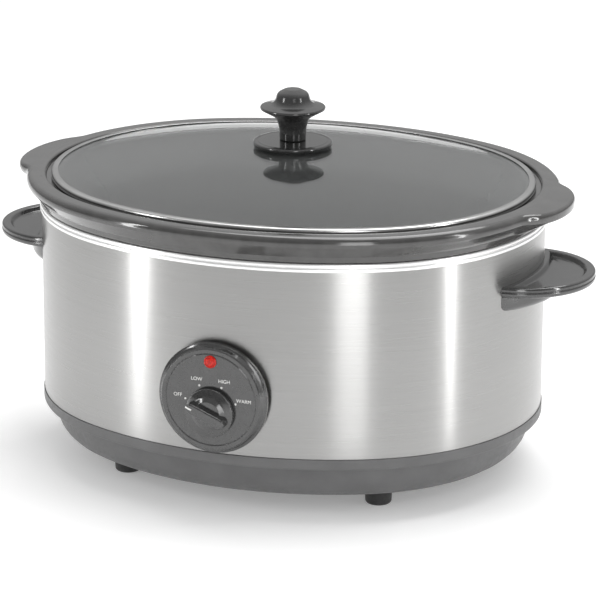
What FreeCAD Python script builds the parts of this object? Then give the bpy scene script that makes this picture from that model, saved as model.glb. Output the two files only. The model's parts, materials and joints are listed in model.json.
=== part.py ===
import FreeCAD
import Part

# Oval slow cooker: a stoneware pot in a heated steel housing, with a glass lid and a rotary control.
#
# Frame: millimetres, +Z up, the front with the control faces -Y, +X to the right. The origin is on
# the surface that the feet stand on, under the centre of the oval.
#
# The plan is a four-arc oval: two end arcs with their centres on X and two side arcs with theirs on
# Y. Every offset of that outline keeps the same four centres. So an oval piece is one profile, given
# as distances outward from the outline and heights, and turned about each centre through its sector.

import math
import os

import Sketcher

SIZES = {
    # plan of the housing's outer face
    "end_radius": 141, "end_centre": 39, "side_centre": 80,
    # heights of the housing
    "foot_height": 13, "band_bottom": 39.2, "shell_bottom": 47.5, "shell_top": 184.5, "rim_bottom": 179.5,
    "rim_top": 185.5,
    # sheet metal and mouldings
    "shell_sheet": 0.8, "liner_sheet": 1.0, "tray_wall": 2.2, "rim_proud": 1.0, "band_proud": 0.6,
    "tray_step": 6.5, "tray_taper": 6.5, "tray_corner": 20, "tray_lip": 5.5, "bead_groove": 0.4,
    # liner and heater
    "liner_gap": 17, "liner_floor": 62, "liner_corner": 12, "flare_bottom": 170, "flare_run": 13.5,
    "heater_bottom": 98, "heater_top": 156, "heater_depth": 2.5, "heater_gap": 12,
    # pot
    "pot_bottom": 68, "pot_floor": 8, "pot_outside": 22, "pot_inside": 30, "pot_corner": 24,
    "pot_draft": 2, "pot_flare": 172, "pot_rest": 185.8, "pot_top": 205.7, "pot_rim_out": 10,
    "pot_rim_in": 3, "lid_seat": 202, "seat_inner": 15, "pot_waist": 176,
    # grips at the pot's ends
    "lug_tip": 204, "lug_shoulder_x": 200, "lug_shoulder_y": 33, "lug_notch_x": 178, "lug_notch_y": 57,
    "lug_root": 0.8, "lug_root_height": 187.2, "lug_tip_height": 198.5, "lug_top": 204, "lug_round": 2.4,
    # lid
    "lid_edge": 7.2, "lid_band_bottom": 202.3, "lid_band_top": 207.2, "lid_band_width": 4.8,
    "lid_band_sheet": 0.6, "glass_thick": 3.6, "glass_top": 226, "knob_hole": 3.1,
    "skirt_radius": 28.4, "skirt_top": 230.2, "brim_radius": 23.4, "brim_height": 252.8,
    "knob_top": 267.3, "stem_radius": 9.6, "knob_screw_radius": 2.5, "gasket_thick": 0.8,
    # control
    "panel_height": 88.5, "panel_radius": 39.1, "panel_collar": 36.4, "panel_face": 160,
    "panel_face_radius": 34.4, "panel_wall": 2.5, "panel_back": 140, "fit_gap": 0.05,
    "knob_height": 80, "dial_radius": 17.2, "dial_top": 172, "dial_skirt": 3.2,
    "dial_clearance": 0.5, "grip_length": 30, "grip_width": 9, "off_angle": 67.5,
    "shaft_radius": 3, "bush_radius": 4.5, "lamp_height": 115.5, "lens_radius": 4.4,
    # handles
    "handle_centre": 168.5, "handle_radius": 52, "handle_top": 155, "handle_thick": 7.5,
    "handle_dish": 3.2, "handle_rim": 8, "handle_gap": 0.1, "keel_centre": 129, "keel_radius": 66,
    "keel_depth": 11, "handle_screw_angle": 11, "handle_screw_height": 141.5,
    "handle_screw_radius": 2,
    # feet and fasteners
    "foot_x": 93.6, "foot_y": 81, "foot_radius": 9.2, "stud_radius": 2.5, "gland_height": 66,
    "gland_bore": 3.8, "gland_radius": 6, "gland_reach": 22, "gland_inside": 8, "wire_radius": 1.1,
    "panel_screw_x": 24, "clamp_screw_radius": 1.5, "foot_screw_radius": 1.5, "foot_recess": 3.4,
    "foot_recess_height": 7, "terminal_length": 44, "terminal_depth": 20, "terminal_height": 16,
    "terminal_y": 100, "terminal_pitch": 13, "earth_x": 40,
}


class Size:
    """A length or an angle: its value, and the expression that ties a property to the sheet."""

    def __init__(self, value, text=None):
        self.value = float(value)
        self.text = text or repr(float(value))

    def join(self, sign, other, value):
        return Size(value, f"({self.text} {sign} {as_size(other).text})")

    def __add__(self, other):
        return self.join("+", other, self.value + as_size(other).value)

    def __sub__(self, other):
        return self.join("-", other, self.value - as_size(other).value)

    def __mul__(self, other):
        return self.join("*", other, self.value * as_size(other).value)

    def __truediv__(self, other):
        return self.join("/", other, self.value / as_size(other).value)

    def __neg__(self):
        return Size(-self.value, f"(-1 * {self.text})")


def as_size(value):
    return value if isinstance(value, Size) else Size(value)


class Sheet:
    """The driving dimensions: each alias of the spreadsheet is an attribute that holds a Size."""

    def __init__(self, doc, sizes):
        cells = doc.addObject("Spreadsheet::Sheet", "Sizes")
        for row, (alias, value) in enumerate(sizes.items(), start=1):
            cells.set(f"A{row}", alias)
            cells.set(f"B{row}", str(value))
            cells.setAlias(f"B{row}", alias)
            setattr(self, alias, Size(value, f"Sizes.{alias}"))


doc = FreeCAD.newDocument("SlowCooker")
S = Sheet(doc, SIZES)
doc.recompute()

SIDE_REACH = math.hypot(S.end_centre.value, S.side_centre.value)
S.side_radius = Size(
    S.end_radius.value + SIDE_REACH,
    f"({S.end_radius.text} + sqrt(pow({S.end_centre.text}; 2) + pow({S.side_centre.text}; 2)))",
)
END_SWEEP = f"2 * atan2({S.side_centre.text}; {S.end_centre.text})"
SIDE_SWEEP = f"180 deg - {END_SWEEP}"
AXIS = None
UP = (0, 0, 1)
FRONT = (0, -1, 0)
REAR = (0, 1, 0)
RIGHT = (1, 0, 0)
PARTS = {}


def keep(label, piece):
    """Name a finished sub-part and list it for its file."""
    piece.Label = label
    PARTS[label] = piece
    return piece


def new_body(name):
    return doc.addObject("PartDesign::Body", name)


def origin_plane(body, role):
    return [feature for feature in body.Origin.OriginFeatures if feature.Role == role][0]


def new_sketch(body, name, role, shift=None):
    """A sketch on one of the body's origin planes, moved by (x, y, z) in that plane's own axes."""
    sketch = body.newObject("Sketcher::SketchObject", name)
    sketch.AttachmentSupport = [(origin_plane(body, role), "")]
    sketch.MapMode = "FlatFace"
    if shift:
        for axis, amount in zip("xyz", shift):
            sketch.setExpression(f"AttachmentOffset.Base.{axis}", as_size(amount).text)
    return sketch


def set_datum(sketch, kind, *geometry, size):
    """Add a dimension and tie it to the sheet."""
    number = sketch.addConstraint(Sketcher.Constraint(kind, *geometry, size.value))
    sketch.setExpression(f"Constraints[{number}]", size.text)


def pin_point(sketch, index, position, corner):
    """Place a point: on an axis where its coordinate is 0, by a dimension elsewhere."""
    for kind, axis, size in (("DistanceX", -2, corner[0]), ("DistanceY", -1, corner[1])):
        if size.value == 0:
            sketch.addConstraint(Sketcher.Constraint("PointOnObject", index, position, axis))
        else:
            set_datum(sketch, kind, index, position, size=size)


def draw_outline(sketch, corners):
    """Close an outline through corners (x, y) or (x, y, rounding), each tied to the sheet."""
    corners = [tuple(as_size(number) for number in corner) for corner in corners]
    spots = [FreeCAD.Vector(corner[0].value, corner[1].value, 0) for corner in corners]
    count = len(corners)
    arcs = {}
    arrivals = list(spots)
    departures = list(spots)
    for i, corner in enumerate(corners):
        if len(corner) < 3:
            continue
        back = (spots[i - 1] - spots[i]).normalize()
        ahead = (spots[(i + 1) % count] - spots[i]).normalize()
        half = back.getAngle(ahead) / 2
        radius = corner[2].value
        arrivals[i] = spots[i] + back * (radius / math.tan(half))
        departures[i] = spots[i] + ahead * (radius / math.tan(half))
        inward = (back + ahead).normalize()
        middle = spots[i] + inward * (radius / math.sin(half) - radius)
        arcs[i] = (Part.Arc(arrivals[i], middle, departures[i]), back.cross(ahead).z < 0)
    for i in range(count):
        sketch.addGeometry(Part.LineSegment(departures[i], arrivals[(i + 1) % count]), False)
    for i, corner in enumerate(corners):
        before = (i - 1) % count
        if i not in arcs:
            sketch.addConstraint(Sketcher.Constraint("Coincident", before, 2, i, 1))
            pin_point(sketch, i, 1, corner)
            continue
        curve, turns_left = arcs[i]
        arc = sketch.addGeometry(curve, False)
        point = sketch.addGeometry(Part.Point(spots[i]), True)
        pin_point(sketch, point, 1, corner)
        arrive, depart = (1, 2) if turns_left else (2, 1)
        sketch.addConstraint(Sketcher.Constraint("Tangent", before, 2, arc, arrive))
        sketch.addConstraint(Sketcher.Constraint("Tangent", arc, depart, i, 1))
        sketch.addConstraint(Sketcher.Constraint("PointOnObject", point, 1, before))
        sketch.addConstraint(Sketcher.Constraint("PointOnObject", point, 1, i))
        set_datum(sketch, "Radius", arc, size=corner[2])
    return sketch


def draw_crescent(sketch, outer_centre, outer_radius, inner_centre, inner_radius):
    """A D: an outer arc and the inner arc that it ends on, both centred on the sketch's X axis."""
    gap = inner_centre.value - outer_centre.value
    reach = (inner_radius.value ** 2 - outer_radius.value ** 2 + gap ** 2) / (2 * gap)
    end_x = inner_centre.value - reach
    end_y = math.sqrt(inner_radius.value ** 2 - reach ** 2)
    ends = (FreeCAD.Vector(end_x, -end_y, 0), FreeCAD.Vector(end_x, end_y, 0))
    for centre, radius in ((outer_centre, outer_radius), (inner_centre, inner_radius)):
        middle = FreeCAD.Vector(centre.value + radius.value, 0, 0)
        arc = sketch.addGeometry(Part.Arc(ends[0], middle, ends[1]), False)
        pin_point(sketch, arc, 3, (centre, Size(0)))
        set_datum(sketch, "Radius", arc, size=radius)
    sketch.addConstraint(Sketcher.Constraint("Coincident", 0, 1, 1, 1))
    sketch.addConstraint(Sketcher.Constraint("Coincident", 0, 2, 1, 2))


def revolve(body, sketch, axis, angle):
    """Turn a profile evenly to both sides of its sketch plane."""
    feature = body.newObject("PartDesign::Revolution", "Turned" + sketch.Name)
    feature.Profile = sketch
    feature.ReferenceAxis = (sketch, [axis])
    feature.Midplane = True
    feature.setExpression("Angle", angle)
    return feature


def mirror(body, feature, role):
    """Repeat a feature across one of the body's origin planes."""
    copy = body.newObject("PartDesign::Mirrored", "Mirror" + feature.Name)
    copy.Originals = [feature]
    copy.MirrorPlane = (origin_plane(body, role), [""])
    body.Tip = copy
    return copy


def pad(body, sketch, length):
    feature = body.newObject("PartDesign::Pad", "Pad" + sketch.Name)
    feature.Profile = sketch
    feature.setExpression("Length", as_size(length).text)
    body.Tip = feature
    return feature


def pocket(body, sketch, length):
    """Cut down from the sketch, against its normal, and make sure that something was cut."""
    doc.recompute()
    before = body.Shape.Volume
    feature = body.newObject("PartDesign::Pocket", "Pocket" + sketch.Name)
    feature.Profile = sketch
    feature.setExpression("Length", as_size(length).text)
    body.Tip = feature
    doc.recompute()
    if body.Shape.Volume >= before:
        raise RuntimeError(f"{feature.Name} cuts nothing")
    return feature


def round_edges(body, radius, wanted):
    """Fillet the edges of the body's tip that the test picks."""
    doc.recompute()
    base = body.Tip
    names = [f"Edge{i}" for i, edge in enumerate(base.Shape.Edges, start=1) if wanted(edge)]
    feature = body.newObject("PartDesign::Fillet", "Round" + base.Name)
    feature.Base = (base, names)
    feature.setExpression("Radius", as_size(radius).text)
    body.Tip = feature
    return feature


def oval(name, corners):
    """A body turned round the oval from corners (outward distance, height) or with a rounding."""
    body = new_body(name)

    def profile(radius):
        for corner in corners:
            reach = Size(0) if corner[0] is AXIS else radius + corner[0]
            yield (reach, *corner[1:])

    end = new_sketch(body, name + "End", "XZ_Plane", (S.end_centre, 0, 0))
    draw_outline(end, list(profile(S.end_radius)))
    mirror(body, revolve(body, end, "V_Axis", END_SWEEP), "YZ_Plane")
    side = new_sketch(body, name + "Side", "YZ_Plane", (-S.side_centre, 0, 0))
    draw_outline(side, list(profile(S.side_radius)))
    mirror(body, revolve(body, side, "V_Axis", SIDE_SWEEP), "XZ_Plane")
    return body


def put(piece, place, direction=UP, spin=0):
    """Turn a piece's own Z axis to a direction, spin it about that, and tie its place to the sheet."""
    aim = FreeCAD.Rotation(FreeCAD.Vector(*UP), FreeCAD.Vector(*direction))
    piece.Placement = FreeCAD.Placement(
        FreeCAD.Vector(), aim * FreeCAD.Rotation(FreeCAD.Vector(*UP), spin)
    )
    for axis, amount in zip("xyz", place):
        piece.setExpression(f"Placement.Base.{axis}", as_size(amount).text)
    return piece


def turned(name, corners, place=(0, 0, 0), direction=UP, spin=0):
    """A round body from corners (radius, height) or with a rounding, about its own Z axis."""
    body = new_body(name)
    sketch = new_sketch(body, name + "Profile", "XZ_Plane")
    draw_outline(sketch, corners)
    revolve(body, sketch, "V_Axis", "360 deg")
    return put(body, place, direction, spin)


def rod(name, radius, length, place, direction=UP):
    """A plain cylinder."""
    cylinder = doc.addObject("Part::Cylinder", name)
    cylinder.setExpression("Radius", as_size(radius).text)
    cylinder.setExpression("Height", as_size(length).text)
    return put(cylinder, place, direction)


def block(name, sizes, place, direction=UP):
    """A plain box from its low corner."""
    box = doc.addObject("Part::Box", name)
    for prop, size in zip(("Length", "Width", "Height"), sizes):
        box.setExpression(prop, as_size(size).text)
    return put(box, place, direction)


def cut(name, base, tools):
    """The base without its tools."""
    tool = tools[0]
    if len(tools) > 1:
        tool = doc.addObject("Part::MultiFuse", name + "Tools")
        tool.Shapes = tools
    result = doc.addObject("Part::Cut", name + "Cut")
    result.Base = base
    result.Tool = tool
    return result


def fuse(name, pieces):
    result = doc.addObject("Part::MultiFuse", name + "Fused")
    result.Shapes = pieces
    result.Refine = True
    return result


def group(name, pieces):
    """Separate solids of one kind in one node."""
    result = doc.addObject("Part::Compound", name + "Group")
    result.Links = pieces
    return result


def screw_corners(radius, length, head_radius, head_height):
    """A screw whose head sits on height 0 with its shank going up from it."""
    return [
        (0, -as_size(head_height)), (head_radius, -as_size(head_height), 0.4), (head_radius, 0),
        (radius, 0), (radius, length), (0, length),
    ]


def ring_corners(inner, outer, height):
    return [(inner, 0), (outer, 0), (outer, height), (inner, height)]


def hex_nut(name, across, height, bore, place, direction=UP):
    """A hexagon nut, across its flats, on the shank that its bore clears."""
    prism = doc.addObject("Part::Prism", name + "Prism")
    prism.Polygon = 6
    prism.setExpression("Circumradius", (as_size(across) / math.sqrt(3)).text)
    prism.setExpression("Height", as_size(height).text)
    put(prism, place, direction)
    return cut(name, prism, [rod(name + "Bore", bore, height, place, direction)])


# Housing: shell, liner and heater

def handle_screw_places(distance):
    """Each handle screw's place at a distance outward from the outline, and the way out there."""
    for side in (1, -1):
        for turn in (1, -1):
            angle = math.radians(turn * S.handle_screw_angle.value)
            way = FreeCAD.Vector(side * math.cos(angle), math.sin(angle), 0)
            reach = S.end_radius + distance
            place = (
                (S.end_centre + reach * math.cos(angle)) * side,
                reach * math.sin(angle),
                S.handle_screw_height,
            )
            yield place, way


def outer_shell():
    """The steel wrap, standing on the base tray's band and tucked under the liner's rolled rim."""
    wrap = oval("ShellWrap", [
        (-S.shell_sheet, S.shell_bottom), (0, S.shell_bottom), (0, S.shell_top),
        (-S.shell_sheet, S.shell_top),
    ])
    front = -(S.panel_back)
    span = 20
    holes = [
        rod("ShellShaftHole", S.bush_radius + 0.6, span, (0, front, S.knob_height), FRONT),
        rod("ShellLampHole", S.lens_radius + 0.4, span, (0, front, S.lamp_height), FRONT),
        rod("ShellGlandHole", S.gland_radius + 0.2, span, (0, -front, S.gland_height), REAR),
    ]
    for side in (1, -1):
        place = (S.panel_screw_x * side, front, S.panel_height)
        holes.append(rod("ShellPanelHole", 1.7, span, place, FRONT))
    for place, way in handle_screw_places(-5):
        holes.append(rod("ShellHandleHole", S.handle_screw_radius + 0.2, 8, place, way))
    keep("outer_shell", cut("Shell", wrap, holes))


def heating_liner():
    """The oval pan that holds the heater and the pot. Its flange flares out and rolls over the shell."""
    inner = -S.liner_gap
    outer = inner + S.liner_sheet
    flare_top = inner + S.flare_run
    lip = S.rim_proud
    pan = oval("LinerPan", [
        (AXIS, S.liner_floor), (outer, S.liner_floor, S.liner_corner + S.liner_sheet),
        (outer, S.flare_bottom - S.liner_sheet * 0.37), (flare_top + S.liner_sheet * 0.46, S.shell_top),
        (0, S.shell_top), (0, S.rim_bottom), (lip, S.rim_bottom, 0.6),
        (lip, S.rim_bottom + 2.4), (lip - S.bead_groove, S.rim_bottom + 2.8), (lip, S.rim_bottom + 3.2),
        (lip, S.rim_top, 0.7), (flare_top, S.rim_top), (inner, S.flare_bottom),
        (inner, S.liner_floor + S.liner_sheet, S.liner_corner), (AXIS, S.liner_floor + S.liner_sheet),
    ])
    keep("heating_liner", cut("Liner", pan, [
        rod("LinerStudHole", S.stud_radius, 3, (0, 0, S.liner_floor - 1)),
    ]))


def heater():
    """A heater tape round the liner, drawn tight by a clamp across its gap at the rear."""
    inner = S.liner_sheet - S.liner_gap
    outer = inner + S.heater_depth
    height = S.heater_top - S.heater_bottom
    tape = oval("HeaterTape", [
        (inner, S.heater_bottom), (outer, S.heater_bottom), (outer, S.heater_top), (inner, S.heater_top),
    ])
    half_gap = S.heater_gap / 2
    slot = block("HeaterSlot", (S.heater_gap, 30, height + 2), (-half_gap, 120, S.heater_bottom - 1))
    keep("heater_band", cut("Heater", tape, [slot]))
    tab_height = height / 3
    tab_base = S.heater_bottom + tab_height
    rear = S.side_radius - S.side_centre + outer
    middle = tab_base + tab_height / 2
    sheet = 1.2
    tabs = []
    for start in (half_gap - sheet, -half_gap):
        tab = block("ClampTab", (sheet, 7, tab_height), (start, rear - 1.5, tab_base))
        hole = rod("ClampHole", S.clamp_screw_radius + 0.2, 4, (start - 1, rear + 3, middle), RIGHT)
        tabs.append(cut("ClampTab", tab, [hole]))
    keep("heater_clamp", group("Clamp", tabs))
    screw = screw_corners(S.clamp_screw_radius, 18, 2.8, 2)
    keep("clamp_screw", turned("ClampScrew", screw, (-half_gap, rear + 3, middle), RIGHT))
    place = (half_gap, rear + 3, middle)
    keep("clamp_nut", hex_nut("ClampNut", 5.5, 2.4, S.clamp_screw_radius, place, RIGHT))


def thermal_fuses():
    """Two thermal cut-outs in clips on the liner's wall, to the left and the right of the front."""
    fuses = []
    clips = []
    along = 55
    for side in (1, -1):
        wall_radius = S.side_radius.value - S.liner_gap.value + 1
        depth = math.sqrt(wall_radius ** 2 - along ** 2) - S.side_centre.value
        place = (along * side, -(depth + 4.6), S.liner_floor + 10)
        fuses.append(turned("Fuse", [(0, 0), (3.4, 0, 0.8), (3.4, 22, 0.8), (0, 22)], place))
        clips.append(turned("FuseClip", ring_corners(3.4, 4.1, 8), (place[0], place[1], place[2] + 7)))
    keep("thermal_fuses", group("Fuses", fuses))
    keep("fuse_clips", group("Clips", clips))


# Housing: base

def base_tray():
    """The moulded bowl under the shell, with a band that the shell stands on and a lip inside it."""
    wall = S.tray_wall
    lip_face = -(S.shell_sheet + 0.1)
    foot_edge = -(S.tray_step + S.tray_taper)
    bowl = oval("TrayBowl", [
        (AXIS, S.foot_height), (foot_edge, S.foot_height, S.tray_corner), (-S.tray_step, S.band_bottom, 0.8),
        (S.band_proud, S.band_bottom + 0.6, 0.6), (S.band_proud, S.shell_bottom), (lip_face, S.shell_bottom),
        (lip_face, S.shell_bottom + S.tray_lip), (lip_face - wall, S.shell_bottom + S.tray_lip),
        (lip_face - wall, S.band_bottom + 1.2), (-S.tray_step - wall, S.band_bottom),
        (foot_edge - wall, S.foot_height + wall, S.tray_corner - wall), (AXIS, S.foot_height + wall),
    ])
    holes = [rod("TrayStudHole", S.stud_radius + 0.3, 6, (0, 0, S.foot_height - 2))]
    for x, y in foot_places():
        holes.append(rod("TrayFootHole", S.foot_screw_radius + 0.1, 6, (x, y, S.foot_height - 2)))
    keep("base_tray", cut("Tray", bowl, holes))


def foot_places():
    for y in (-S.foot_y, S.foot_y):
        for x in (-S.foot_x, S.foot_x):
            yield x, y


def feet():
    """Four rubber feet, each held by a screw that goes up through the foot into the tray."""
    names = ("foot_front_left", "foot_front_right", "foot_rear_left", "foot_rear_right")
    screws = []
    for name, (x, y) in zip(names, foot_places()):
        keep(name, turned(name.title().replace("_", ""), [
            (S.foot_recess, 0), (S.foot_radius, 0, 2.5), (S.foot_radius + 0.4, S.foot_height),
            (S.foot_screw_radius + 0.1, S.foot_height), (S.foot_screw_radius + 0.1, S.foot_recess_height),
            (S.foot_recess, S.foot_recess_height),
        ], (x, y, 0)))
        screw = screw_corners(S.foot_screw_radius, 14, 3, 2)
        screws.append(turned("FootScrew", screw, (x, y, S.foot_recess_height)))
    keep("foot_screws", group("FootScrews", screws))


def tie_bolt():
    """The stud under the liner that clamps liner, shell and tray together."""
    top = S.liner_floor + S.liner_sheet
    keep("tie_stud", rod("TieStud", S.stud_radius, top - 7, (0, 0, 7)))
    washer_place = (0, 0, S.foot_height - 1)
    keep("tie_washer", turned("TieWasher", ring_corners(S.stud_radius + 0.2, 7, 1), washer_place))
    keep("tie_nut", hex_nut("TieNut", 8, 4, S.stud_radius, (0, 0, S.foot_height - 5)))


# Housing: handles

def handle(name, spin):
    """A D-shaped ledge with a dished top and a keel below it against the shell."""
    body = new_body(name.title().replace("_", ""))
    inner = S.end_radius + S.handle_gap
    bottom = S.handle_top - S.handle_thick
    ledge = new_sketch(body, body.Name + "Ledge", "XY_Plane", (0, 0, bottom))
    draw_crescent(ledge, S.handle_centre, S.handle_radius, S.end_centre, inner)
    pad(body, ledge, S.handle_thick)
    round_edges(body, 3, lambda edge: edge.BoundBox.ZLength < 0.01 and edge.BoundBox.XMax > 200)
    keel = new_sketch(body, body.Name + "Keel", "XY_Plane", (0, 0, bottom - S.keel_depth))
    draw_crescent(keel, S.keel_centre, S.keel_radius, S.end_centre, inner)
    pad(body, keel, S.keel_depth + 1)
    low = bottom.value - S.keel_depth.value + 0.01
    round_edges(body, 4, lambda edge: edge.BoundBox.ZMax < low and edge.BoundBox.XMax > 190)
    dish = new_sketch(body, body.Name + "Dish", "XY_Plane", (0, 0, S.handle_top))
    draw_crescent(dish, S.handle_centre, S.handle_radius - S.handle_rim, S.end_centre, inner + S.handle_rim)
    pocket(body, dish, S.handle_dish)
    floor = S.handle_top.value - S.handle_dish.value
    round_edges(
        body, 1.6, lambda edge: abs(edge.BoundBox.ZMax - floor) < 0.01 and edge.BoundBox.ZLength < 0.01
    )
    holes = []
    for place, way in handle_screw_places(-1):
        if place[0].value > 0:
            holes.append(rod("HandlePilot", S.handle_screw_radius, 9, place, way))
    keep(name, put(cut(body.Name, body, holes), (0, 0, 0), UP, spin))


def handle_fasteners():
    """Screws from inside the shell into the handles, each on a washer."""
    screws = []
    washers = []
    for place, way in handle_screw_places(-S.shell_sheet - 0.15 - 1):
        washers.append(turned("HandleWasher", ring_corners(S.handle_screw_radius + 0.15, 5, 1), place, way))
        screws.append(turned("HandleScrew", screw_corners(S.handle_screw_radius, 9, 3.8, 2.6), place, way))
    keep("handle_screws", group("HandleScrews", screws))
    keep("handle_washers", group("HandleWashers", washers))


# Housing: control panel

def control_panel():
    """The round bezel on the shell's front: hollow behind, with a stepped rim and screw bosses."""
    back = S.panel_back
    face = S.panel_face
    wall = S.panel_wall
    bezel = turned("PanelBezel", [
        (0, face - wall), (S.panel_collar - 4.5, face - wall, 3), (S.panel_collar - 3, back),
        (S.panel_collar, back), (S.panel_collar, face - 8.4, 0.5), (S.panel_radius, face - 7.6, 0.6),
        (S.panel_radius, face - 4.4, 0.8), (S.panel_radius - 1.5, face - 3.4, 0.4),
        (S.panel_face_radius + 1.6, face - 1.2, 0.8), (S.panel_face_radius + 1, face, 0.5), (0, face),
    ], (0, 0, S.panel_height), FRONT)
    solids = [bezel]
    holes = [
        rod("PanelSeat", S.side_radius + S.fit_gap, 120, (0, S.side_centre, S.panel_height - 60)),
        rod("PanelShaftHole", S.bush_radius + 0.1, 30, (0, -(back), S.knob_height), FRONT),
        rod("PanelLensHole", S.lens_radius + 0.1, 30, (0, -(back), S.lamp_height), FRONT),
    ]
    for side in (1, -1):
        place = (S.panel_screw_x * side, -(back), S.panel_height)
        solids.append(rod("PanelBoss", 3.6, face - back - 1, place, FRONT))
        holes.append(rod("PanelPilot", 1.4, face - back - 4, place, FRONT))
    keep("control_panel", cut("Panel", fuse("Panel", solids), holes))
    screws = []
    for side in (1, -1):
        angle = math.asin(S.panel_screw_x.value / S.side_radius.value)
        depth = (S.side_radius.value - 2.2) * math.cos(angle) - S.side_centre.value
        place = (S.panel_screw_x * side, -depth, S.panel_height)
        screws.append(turned("PanelScrew", screw_corners(1.4, 9, 2.6, 1.8), place, FRONT))
    keep("panel_screws", group("PanelScrews", screws))


def lamp():
    """The red lens in the panel, with the neon lamp in its sleeve behind it."""
    face = S.panel_face
    radius = S.lens_radius
    keep("indicator_lens", turned("Lens", [
        (0, -9), (radius, -9), (radius, 0.6, 0.5), (radius - 1.6, 1.8, 1.5), (0, 1.8),
    ], (0, -(face), S.lamp_height), FRONT))
    back = S.side_radius - S.side_centre - 8
    behind = (0, -(back), S.lamp_height)
    keep("lamp_sleeve", turned("LampSleeve", ring_corners(3.2, 4.2, face - 9 - back), behind, FRONT))
    keep("neon_lamp", turned("NeonLamp", [(0, 0), (3.1, 0, 0.5), (3.1, 8, 2), (0, 8)], behind, FRONT))


def switch():
    """The rotary switch behind the shell. Its threaded bush passes through shell and panel to a nut."""
    inside = S.side_radius - S.side_centre - S.shell_sheet
    depth = 11.5
    face = S.panel_face
    case = turned("SwitchCase", [(0, 0), (12, 0, 1), (12, depth, 1), (0, depth)],
                  (0, -(inside - depth - 0.4), S.knob_height), FRONT)
    bush = rod("SwitchBush", S.bush_radius, face - inside + 4.4, (0, -(inside - 1), S.knob_height), FRONT)
    bore = rod("SwitchBore", S.shaft_radius + 0.05, 40, (0, -(inside - 6), S.knob_height), FRONT)
    keep("rotary_switch", cut("Switch", fuse("Switch", [case, bush]), [bore]))
    keep("switch_nut", hex_nut("SwitchNut", 12, 2.2, S.bush_radius, (0, -(face), S.knob_height), FRONT))


def control_knob():
    """The knob, its D-flat shaft and the mark on its grip. The grip points at Off at rest."""
    back = S.panel_face + S.dial_clearance
    height = S.dial_top - back
    recess = S.bush_radius + 4.5
    body = turned("Dial", [
        (S.shaft_radius, 5.2), (recess, 5.2), (recess, 0), (S.dial_radius, 0),
        (S.dial_radius, S.dial_skirt, 1), (recess + 1, S.dial_skirt + 1.4, 2), (recess, 6.6),
        (S.shaft_radius, 6.6),
    ])
    half = S.grip_length / 2
    side = S.grip_width / 2
    grip = new_sketch(body, "DialGrip", "XY_Plane", (0, 0, S.dial_skirt - 1))
    draw_outline(grip, [
        (-half, -side, side * 0.98), (half, -side, side * 0.98), (half, side, side * 0.98),
        (-half, side, side * 0.98),
    ])
    base = S.dial_skirt - 1
    pad(body, grip, height - base)
    top = height.value - 0.01
    round_edges(body, 1.2, lambda edge: edge.BoundBox.ZMin > top)
    put(body, (0, -back, S.knob_height), FRONT, 90 + S.off_angle.value)
    bore = rod("DialBore", S.shaft_radius, height - 3, (0, -(back), S.knob_height), FRONT)
    nut_room = rod("DialNutRoom", recess, 5.2, (0, -(back), S.knob_height), FRONT)
    keep("control_knob", cut("Dial", body, [bore, nut_room]))
    inside = S.side_radius - S.side_centre - S.shell_sheet
    reach = back - inside + height - 3 + 5
    keep("switch_shaft", rod("SwitchShaft", S.shaft_radius, reach, (0, -(inside - 5), S.knob_height), FRONT))


# Housing: wiring

def terminal_columns():
    """Where the terminals for live, earth and neutral are, from the left."""
    return (-S.terminal_pitch, Size(0), S.terminal_pitch)


def terminals():
    """The terminal block on the tray's floor, its screws, and the earth tab under the liner."""
    floor = S.foot_height + S.tray_wall
    top = floor + S.terminal_height
    front = S.terminal_y - S.terminal_depth / 2
    sizes = (S.terminal_length, S.terminal_depth, S.terminal_height)
    body = block("TerminalBody", sizes, (-S.terminal_length / 2, front, floor))
    wells = []
    screws = []
    for x in terminal_columns():
        wells.append(rod("TerminalWell", 2.6, 8, (x, S.terminal_y, top - 6)))
        wells.append(rod("TerminalTap", 1.55, 5, (x, S.terminal_y, top - 10)))
        wells.append(rod("TerminalEntry", S.wire_radius + 0.1, 12, (x, front - 1, floor + 5), REAR))
        screws.append(turned("TerminalScrew", [
            (0, 0), (1.5, 0), (1.5, 4), (2.4, 4), (2.4, 6, 0.4), (0, 6),
        ], (x, S.terminal_y, top - 9.9)))
    keep("terminal_block", cut("Terminal", body, wells))
    keep("terminal_screws", group("TerminalScrews", screws))
    keep("earth_tab", block("EarthPlate", (12, 16, 0.8), (S.earth_x - 6, 30, S.liner_floor - 0.8)))


def strand(name, spots, bend):
    """An insulated wire: straight runs joined by tangent arcs, with its volume checked."""
    spots = [FreeCAD.Vector(*(as_size(number).value for number in spot)) for spot in spots]
    edges = []
    here = spots[0]
    for before, corner, after in zip(spots, spots[1:], spots[2:]):
        back = (before - corner).normalize()
        ahead = (after - corner).normalize()
        half = back.getAngle(ahead) / 2
        arrive = corner + back * (bend / math.tan(half))
        depart = corner + ahead * (bend / math.tan(half))
        middle = corner + (back + ahead).normalize() * (bend / math.sin(half) - bend)
        edges.append(Part.LineSegment(here, arrive).toShape())
        edges.append(Part.Arc(arrive, middle, depart).toShape())
        here = depart
    edges.append(Part.LineSegment(here, spots[-1]).toShape())
    path = Part.Wire(edges)
    radius = S.wire_radius.value
    ring = Part.Wire([Part.Circle(spots[0], spots[1] - spots[0], radius).toShape()])
    solid = path.makePipeShell([ring], True, False)
    expected = math.pi * radius ** 2 * path.Length
    if abs(solid.Volume - expected) > 0.01 * expected:
        raise RuntimeError(f"{name} has the wrong volume")
    wire = doc.addObject("Part::Feature", name.title().replace("_", ""))
    wire.Shape = solid
    return keep(name, wire)


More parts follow.
